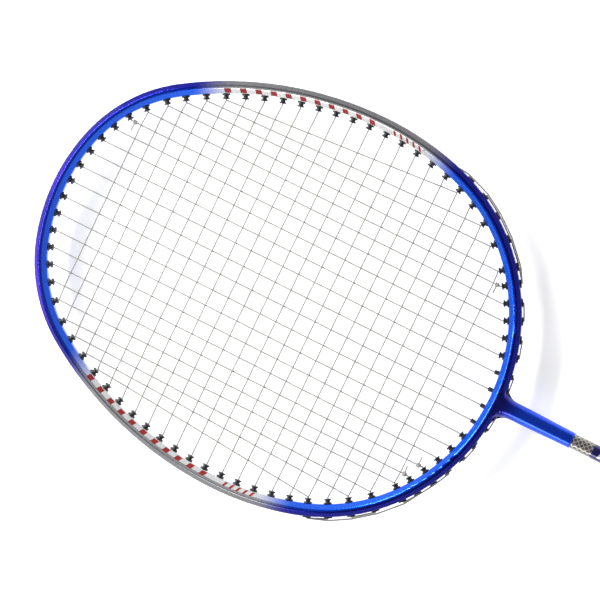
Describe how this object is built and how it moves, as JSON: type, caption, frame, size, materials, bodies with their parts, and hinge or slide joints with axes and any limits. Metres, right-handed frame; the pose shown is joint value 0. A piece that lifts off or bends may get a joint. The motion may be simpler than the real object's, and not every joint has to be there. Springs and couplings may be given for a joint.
{
  "type": "badminton racket",
  "caption": "Badminton racket with a strung oval head, a flared throat joint, a slim round shaft and a wrapped eight-sided handle.",
  "frame": {"origin": "centre of the flat butt end of the handle", "axes": "+Y along the racket from the butt to the head's tip, +X across the head in the plane of the strings, +Z square to the strings"},
  "size_m": [0.2032, 0.67, 0.0276],
  "materials": {
    "frame_paint": "high-gloss metallic blue lacquer over a moulded fibre tube, fading to silver along both sides",
    "joint_alloy": "cast, unpainted",
    "cone_paint": "high-gloss metallic blue lacquer",
    "shaft_paint": "gloss navy lacquer with one woven silver band",
    "cap_plastic": "gloss moulded blue",
    "core_wood": "planed, unfinished",
    "grip": "soft synthetic leather, perforated, satin black",
    "tape": "thin vinyl tape, satin",
    "butt_plastic": "fine moulded texture",
    "emblem": "gloss domed disc",
    "staple_steel": "drawn wire",
    "main_string": "braided nylon with a slight sheen",
    "cross_string": "braided nylon with a slight sheen",
    "grommet": "moulded nylon, satin black"
  },
  "bodies": {
    "root": {"head_frame": "frame_paint", "t_joint": "joint_alloy", "throat_cone": "cone_paint", "shaft": "shaft_paint", "cone_cap": "cap_plastic", "handle_core": "core_wood", "grip_wrap": "grip", "finishing_tape": "tape", "butt_cap": "butt_plastic", "butt_emblem": "emblem", "butt_staples": "staple_steel", "main_string": "main_string", "cross_string": "cross_string", "grommets_tip": "grommet", "grommets_right": "grommet", "grommets_left": "grommet", "grommets_lower_right": "grommet", "grommets_lower_left": "grommet", "grommets_throat": "grommet"}
  },
  "joints": []
}
